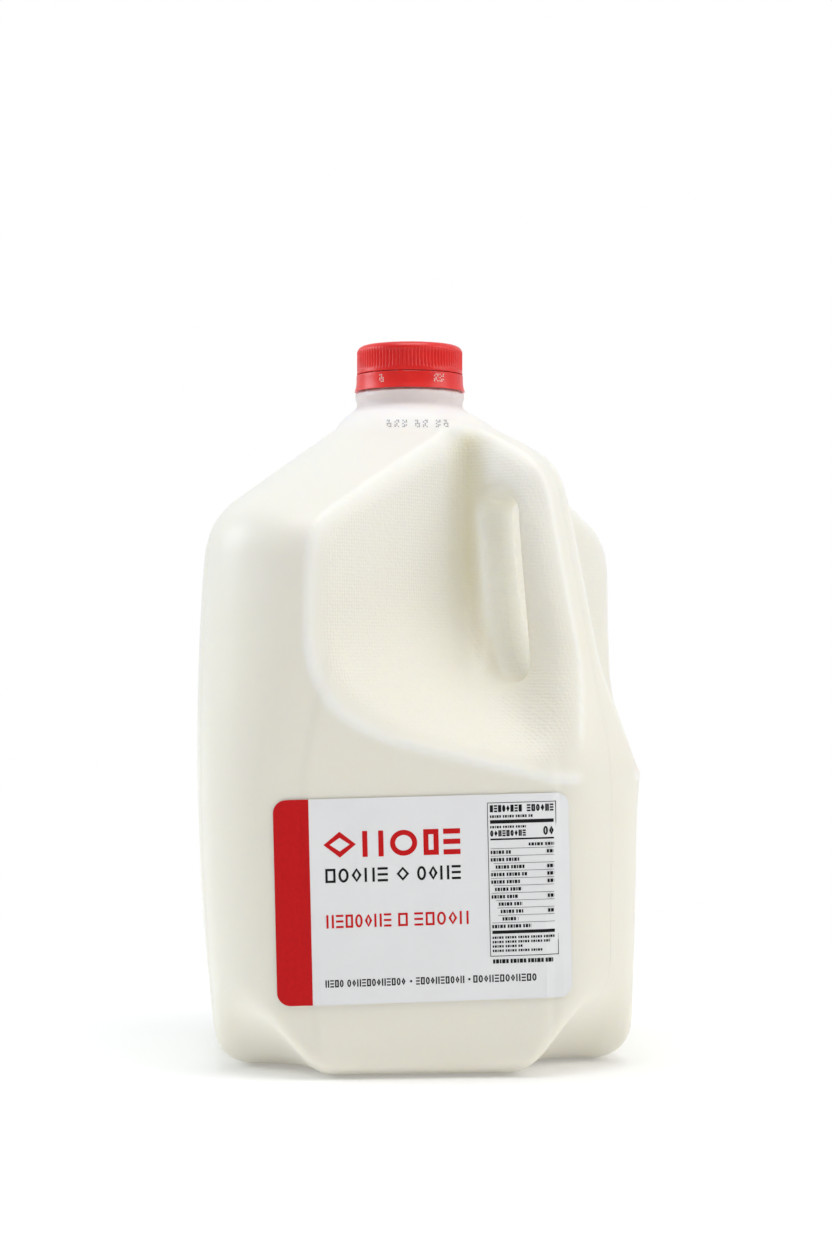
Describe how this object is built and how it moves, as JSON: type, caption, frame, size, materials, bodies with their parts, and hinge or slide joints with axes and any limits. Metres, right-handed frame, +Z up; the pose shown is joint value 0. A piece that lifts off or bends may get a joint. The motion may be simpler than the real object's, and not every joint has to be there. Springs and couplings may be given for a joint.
{
  "type": "plastic milk jug",
  "caption": "Square blow-moulded plastic jug of milk, shut, with a hollow handle in one corner, a ribbed screw cap, a tear-off band and a paper label.",
  "frame": {"origin": "on the neck's axis at the level of the feet", "axes": "+Z up along the neck's axis, +X towards the corner with the handle, Y = 0 is the mould's parting plane; the label is on the wall that faces (+X, -Y)"},
  "size_m": [0.1873, 0.1937, 0.2586],
  "materials": {
    "milk_jug": "milky, fine mould grain",
    "cap_red": "satin red",
    "label_paper": "smooth coated paper"
  },
  "bodies": {
    "root": {"jug": "milk_jug", "cap": "cap_red", "tear_band": "cap_red", "label": "label_paper"}
  },
  "joints": []
}
